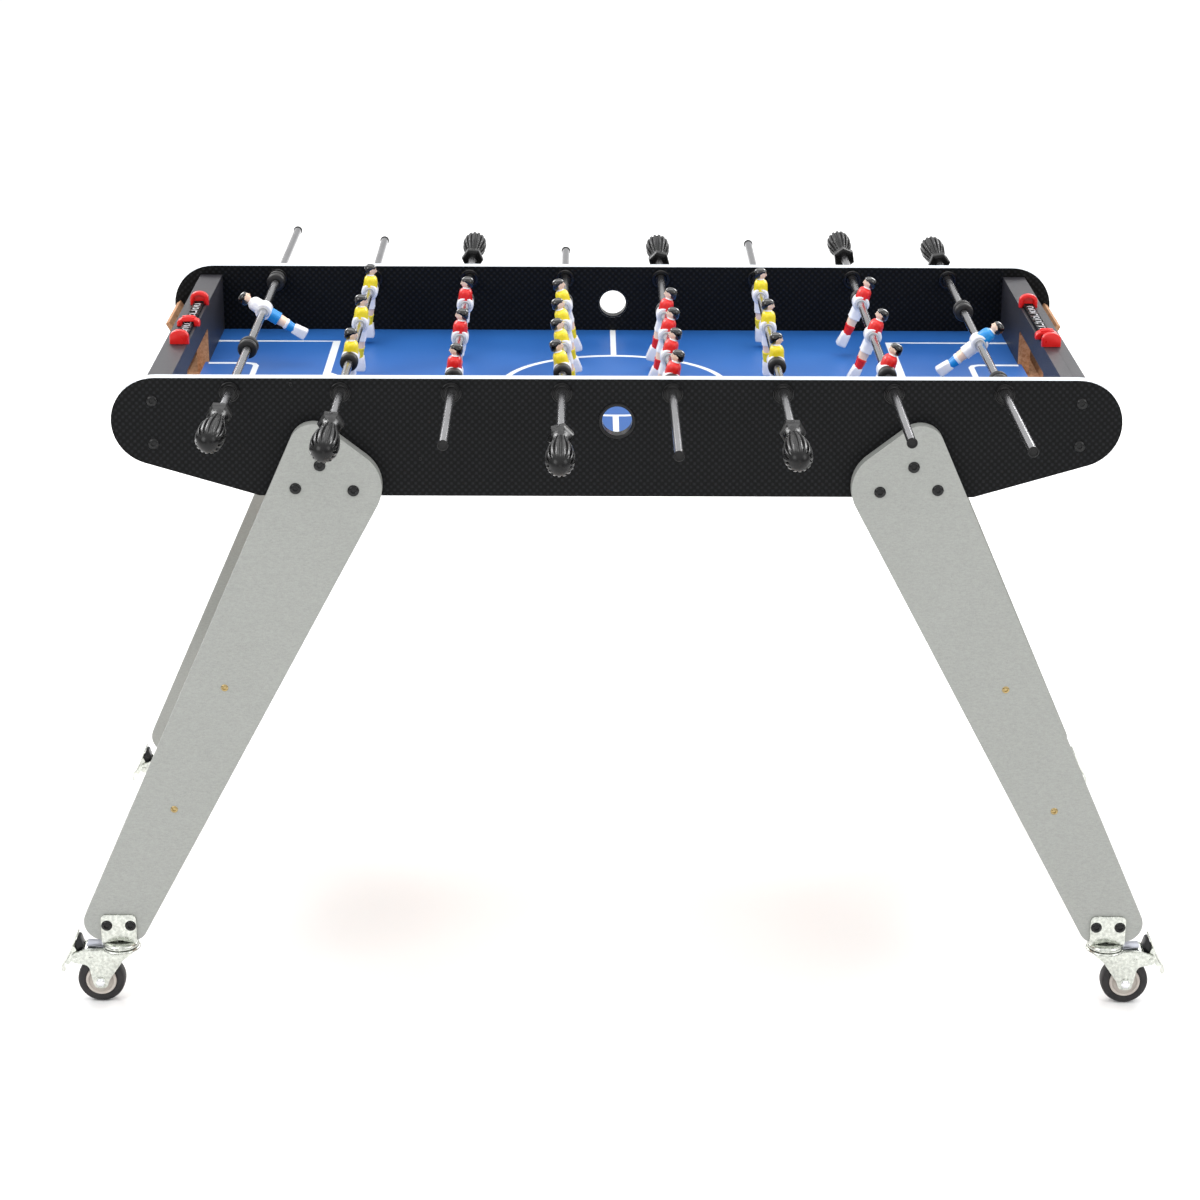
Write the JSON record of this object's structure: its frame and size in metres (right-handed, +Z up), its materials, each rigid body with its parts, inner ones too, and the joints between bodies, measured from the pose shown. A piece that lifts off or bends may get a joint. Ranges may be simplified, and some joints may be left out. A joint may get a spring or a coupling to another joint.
{
  "type": "foosball table",
  "caption": "Table football game: open-topped cabinet on splayed legs with lockable casters, sliding and spinning player rods, goals, ball entry holes and score counters.",
  "frame": {"origin": "on the floor under the middle of the table", "axes": "+X along the table to the right goal as seen from the front, +Y from the front side to the rear side across the rods, +Z up"},
  "size_m": [1.406, 1.189, 0.838],
  "materials": {
    "black_laminate": "embossed black laminate, semi-matt",
    "blue_field": "printed vinyl, satin",
    "raw_fibreboard": "raw fibreboard, unsealed",
    "black_plastic": "moulded black plastic, semi-gloss",
    "grey_laminate": "light warm grey laminate, fine grain",
    "zinc_steel": "zinc-plated pressed steel",
    "black_steel": "black oxide bolts",
    "red_plastic": "glossy red plastic",
    "yellow_plastic": "glossy painted plastic",
    "white_plastic": "glossy painted plastic",
    "blue_plastic": "glossy painted plastic",
    "black_rubber": "black rubber tyre",
    "chromed_steel": "chromed steel tube"
  },
  "bodies": {
    "cabinet": {"front_side_panel": "black_laminate", "rear_side_panel": "black_laminate", "left_end_panel": "black_laminate", "right_end_panel": "black_laminate", "playfield_board": "blue_field", "inner_boards": "raw_fibreboard", "ball_entry_cups": "black_plastic", "bearing_housings": "black_plastic", "left_legs": "grey_laminate", "right_legs": "grey_laminate", "leg_cross_boards": "grey_laminate", "caster_plates": "zinc_steel", "score_rails": "black_plastic", "fasteners": "black_steel"},
    "left_score_slider": {"left_score_slider": "red_plastic"},
    "right_score_slider": {"right_score_slider": "red_plastic"},
    "front_left_caster": {"front_left_caster_fork": "zinc_steel"},
    "front_left_wheel": {"front_left_caster_wheel": "black_rubber"},
    "front_left_brake": {"front_left_caster_brake": "zinc_steel"},
    "front_right_caster": {"front_right_caster_fork": "zinc_steel"},
    "front_right_wheel": {"front_right_caster_wheel": "black_rubber"},
    "front_right_brake": {"front_right_caster_brake": "zinc_steel"},
    "rear_left_caster": {"rear_left_caster_fork": "zinc_steel"},
    "rear_left_wheel": {"rear_left_caster_wheel": "black_rubber"},
    "rear_left_brake": {"rear_left_caster_brake": "zinc_steel"},
    "rear_right_caster": {"rear_right_caster_fork": "zinc_steel"},
    "rear_right_wheel": {"rear_right_caster_wheel": "black_rubber"},
    "rear_right_brake": {"rear_right_caster_brake": "zinc_steel"},
    "rod_1_bearing_sleeves": {"rod_1_sleeves": "black_plastic"},
    "rod_1": {"rod_1_bar": "chromed_steel", "rod_1_players": "white_plastic", "rod_1_grip_and_stops": "black_plastic"},
    "rod_2_bearing_sleeves": {"rod_2_sleeves": "black_plastic"},
    "rod_2": {"rod_2_bar": "chromed_steel", "rod_2_players": "yellow_plastic", "rod_2_grip_and_stops": "black_plastic"},
    "rod_3_bearing_sleeves": {"rod_3_sleeves": "black_plastic"},
    "rod_3": {"rod_3_bar": "chromed_steel", "rod_3_players": "red_plastic", "rod_3_grip_and_stops": "black_plastic"},
    "rod_4_bearing_sleeves": {"rod_4_sleeves": "black_plastic"},
    "rod_4": {"rod_4_bar": "chromed_steel", "rod_4_players": "yellow_plastic", "rod_4_grip_and_stops": "black_plastic"},
    "rod_5_bearing_sleeves": {"rod_5_sleeves": "black_plastic"},
    "rod_5": {"rod_5_bar": "chromed_steel", "rod_5_players": "red_plastic", "rod_5_grip_and_stops": "black_plastic"},
    "rod_6_bearing_sleeves": {"rod_6_sleeves": "black_plastic"},
    "rod_6": {"rod_6_bar": "chromed_steel", "rod_6_players": "yellow_plastic", "rod_6_grip_and_stops": "black_plastic"},
    "rod_7_bearing_sleeves": {"rod_7_sleeves": "black_plastic"},
    "rod_7": {"rod_7_bar": "chromed_steel", "rod_7_players": "red_plastic", "rod_7_grip_and_stops": "black_plastic"},
    "rod_8_bearing_sleeves": {"rod_8_sleeves": "black_plastic"},
    "rod_8": {"rod_8_bar": "chromed_steel", "rod_8_players": "blue_plastic", "rod_8_grip_and_stops": "black_plastic"}
  },
  "joints": [
    {"name": "left_score_slide", "type": "slide", "parent": "cabinet", "child": "left_score_slider", "axis": [0, 1, 0], "range_m": [-0.0805, 0.1025]},
    {"name": "right_score_slide", "type": "slide", "parent": "cabinet", "child": "right_score_slider", "axis": [0, 1, 0], "range_m": [-0.0275, 0.1555]},
    {"name": "front_left_caster_swivel", "type": "hinge", "parent": "cabinet", "child": "front_left_caster", "pos_m": [-0.626, -0.308, 0.07], "axis": [0, 0, 1], "continuous": true},
    {"name": "front_left_wheel_roll", "type": "hinge", "parent": "front_left_caster", "child": "front_left_wheel", "pos_m": [-0.652, -0.308, 0.03], "axis": [0, 1, 0], "continuous": true},
    {"name": "front_left_brake_rock", "type": "hinge", "parent": "front_left_caster", "child": "front_left_brake", "pos_m": [-0.683, -0.308, 0.063], "axis": [0, -1, 0], "range_deg": [0, 9]},
    {"name": "front_right_caster_swivel", "type": "hinge", "parent": "cabinet", "child": "front_right_caster", "pos_m": [0.626, -0.308, 0.07], "axis": [0, 0, 1], "continuous": true},
    {"name": "front_right_wheel_roll", "type": "hinge", "parent": "front_right_caster", "child": "front_right_wheel", "pos_m": [0.652, -0.308, 0.03], "axis": [0, 1, 0], "continuous": true},
    {"name": "front_right_brake_rock", "type": "hinge", "parent": "front_right_caster", "child": "front_right_brake", "pos_m": [0.683, -0.308, 0.063], "axis": [0, 1, 0], "range_deg": [0, 9]},
    {"name": "rear_left_caster_swivel", "type": "hinge", "parent": "cabinet", "child": "rear_left_caster", "pos_m": [-0.626, 0.308, 0.07], "axis": [0, 0, 1], "continuous": true},
    {"name": "rear_left_wheel_roll", "type": "hinge", "parent": "rear_left_caster", "child": "rear_left_wheel", "pos_m": [-0.652, 0.308, 0.03], "axis": [0, 1, 0], "continuous": true},
    {"name": "rear_left_brake_rock", "type": "hinge", "parent": "rear_left_caster", "child": "rear_left_brake", "pos_m": [-0.683, 0.308, 0.063], "axis": [0, -1, 0], "range_deg": [0, 9]},
    {"name": "rear_right_caster_swivel", "type": "hinge", "parent": "cabinet", "child": "rear_right_caster", "pos_m": [0.626, 0.308, 0.07], "axis": [0, 0, 1], "continuous": true},
    {"name": "rear_right_wheel_roll", "type": "hinge", "parent": "rear_right_caster", "child": "rear_right_wheel", "pos_m": [0.652, 0.308, 0.03], "axis": [0, 1, 0], "continuous": true},
    {"name": "rear_right_brake_rock", "type": "hinge", "parent": "rear_right_caster", "child": "rear_right_brake", "pos_m": [0.683, 0.308, 0.063], "axis": [0, 1, 0], "range_deg": [0, 9]},
    {"name": "rod_1_spin", "type": "hinge", "parent": "cabinet", "child": "rod_1_bearing_sleeves", "pos_m": [-0.462, 0, 0.801], "axis": [0, 1, 0], "continuous": true},
    {"name": "rod_1_slide", "type": "slide", "parent": "rod_1_bearing_sleeves", "child": "rod_1", "axis": [0, 1, 0], "range_m": [-0.174, 0.001]},
    {"name": "rod_2_spin", "type": "hinge", "parent": "cabinet", "child": "rod_2_bearing_sleeves", "pos_m": [-0.33, 0, 0.801], "axis": [0, 1, 0], "continuous": true},
    {"name": "rod_2_slide", "type": "slide", "parent": "rod_2_bearing_sleeves", "child": "rod_2", "axis": [0, 1, 0], "range_m": [-0.111, 0.039]},
    {"name": "rod_3_spin", "type": "hinge", "parent": "cabinet", "child": "rod_3_bearing_sleeves", "pos_m": [-0.198, 0, 0.801], "axis": [0, 1, 0], "continuous": true},
    {"name": "rod_3_slide", "type": "slide", "parent": "rod_3_bearing_sleeves", "child": "rod_3", "axis": [0, 1, 0], "range_m": [-0.039, 0.111]},
    {"name": "rod_4_spin", "type": "hinge", "parent": "cabinet", "child": "rod_4_bearing_sleeves", "pos_m": [-0.066, 0, 0.801], "axis": [0, 1, 0], "continuous": true},
    {"name": "rod_4_slide", "type": "slide", "parent": "rod_4_bearing_sleeves", "child": "rod_4", "axis": [0, 1, 0], "range_m": [-0.062, 0.118]},
    {"name": "rod_5_spin", "type": "hinge", "parent": "cabinet", "child": "rod_5_bearing_sleeves", "pos_m": [0.066, 0, 0.801], "axis": [0, 1, 0], "continuous": true},
    {"name": "rod_5_slide", "type": "slide", "parent": "rod_5_bearing_sleeves", "child": "rod_5", "axis": [0, 1, 0], "range_m": [-0.015, 0.165]},
    {"name": "rod_6_spin", "type": "hinge", "parent": "cabinet", "child": "rod_6_bearing_sleeves", "pos_m": [0.198, 0, 0.801], "axis": [0, 1, 0], "continuous": true},
    {"name": "rod_6_slide", "type": "slide", "parent": "rod_6_bearing_sleeves", "child": "rod_6", "axis": [0, 1, 0], "range_m": [-0.095, 0.055]},
    {"name": "rod_7_spin", "type": "hinge", "parent": "cabinet", "child": "rod_7_bearing_sleeves", "pos_m": [0.33, 0, 0.801], "axis": [0, 1, 0], "continuous": true},
    {"name": "rod_7_slide", "type": "slide", "parent": "rod_7_bearing_sleeves", "child": "rod_7", "axis": [0, 1, 0], "range_m": [-0.053, 0.097]},
    {"name": "rod_8_spin", "type": "hinge", "parent": "cabinet", "child": "rod_8_bearing_sleeves", "pos_m": [0.462, 0, 0.801], "axis": [0, 1, 0], "continuous": true},
    {"name": "rod_8_slide", "type": "slide", "parent": "rod_8_bearing_sleeves", "child": "rod_8", "axis": [0, 1, 0], "range_m": [-0.018, 0.157]}
  ]
}
